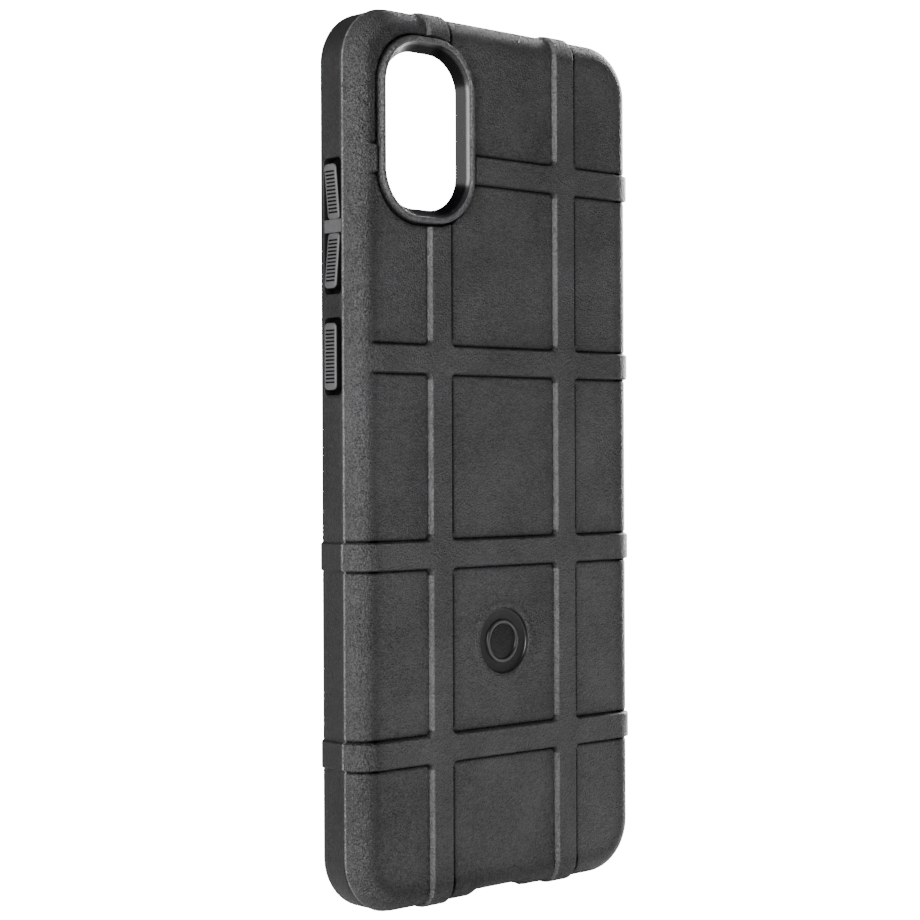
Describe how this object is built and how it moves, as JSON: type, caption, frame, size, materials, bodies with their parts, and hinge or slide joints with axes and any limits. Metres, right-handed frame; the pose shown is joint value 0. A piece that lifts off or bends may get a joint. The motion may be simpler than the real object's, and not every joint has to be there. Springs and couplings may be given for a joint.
{
  "type": "phone case",
  "caption": "Soft rugged phone case with a ribbed back, tall lens opening, bendable side keys and open screen side.",
  "frame": {"origin": "on the middle of the back panel's inner face, where the phone that holds the case rests", "axes": "+Z along the case's length to the lens end, +Y from the ribbed back to the open screen side, +X to the right seen from behind"},
  "size_m": [0.0756, 0.0128, 0.1708],
  "materials": {
    "shell_black": "moulded thermoplastic polyurethane, fine leather-like grain, low sheen",
    "side_black": "moulded thermoplastic polyurethane, very fine spark-eroded texture",
    "bezel_gloss": "polished inner wall with a grained crest",
    "badge_smooth": "smooth semi-gloss",
    "key_grey": "satin, with fine cross grooves"
  },
  "bodies": {
    "case_body": {"back_shell": "shell_black", "side_frame": "side_black", "lens_bezel": "bezel_gloss", "badge_disc": "badge_smooth", "volume_bridge": "key_grey"},
    "volume_up": {"volume_up_key": "key_grey"},
    "volume_down": {"volume_down_key": "key_grey"},
    "power": {"power_key": "key_grey"}
  },
  "joints": [
    {"name": "volume_up_press", "type": "hinge", "parent": "case_body", "child": "volume_up", "pos_m": [-0.03602, 0.0056, 0.04495], "axis": [0, 1, 0], "range_deg": [0, 4], "stiffness_Nm_per_rad": 0.05},
    {"name": "volume_down_press", "type": "hinge", "parent": "case_body", "child": "volume_down", "pos_m": [-0.03602, 0.0056, 0.04245], "axis": [0, -1, 0], "range_deg": [0, 4], "stiffness_Nm_per_rad": 0.05},
    {"name": "power_press", "type": "hinge", "parent": "case_body", "child": "power", "pos_m": [-0.0362, 0.0073, 0.0194], "axis": [0, 0, 1], "range_deg": [0, 9], "stiffness_Nm_per_rad": 0.05}
  ]
}
